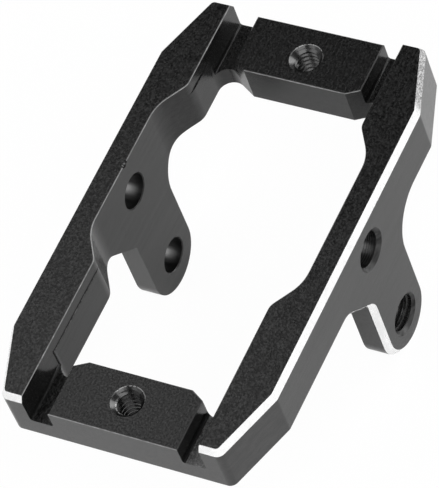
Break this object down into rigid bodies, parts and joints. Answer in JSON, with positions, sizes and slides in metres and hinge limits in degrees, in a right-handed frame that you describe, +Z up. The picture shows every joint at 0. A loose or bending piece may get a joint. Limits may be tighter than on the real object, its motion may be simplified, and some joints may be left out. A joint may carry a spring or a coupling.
{
  "type": "servo bracket",
  "caption": "Black anodised aluminium bracket that holds a micro servo in an open frame, with two drilled ears reaching down to carry it.",
  "frame": {"origin": "on the top plane of the two screw pads, midway between the two servo screws", "axes": "+X across the bracket to its right side; +Y along the side rails to the far end; +Z up out of the screw pads, towards the servo's flange"},
  "size_m": [0.0196, 0.0328, 0.0144],
  "materials": {
    "black_anodised": "satin black anodised over fine milling marks, with the outer chamfers cut bright afterwards"
  },
  "bodies": {
    "root": {"servo_bracket": "black_anodised"}
  },
  "joints": []
}
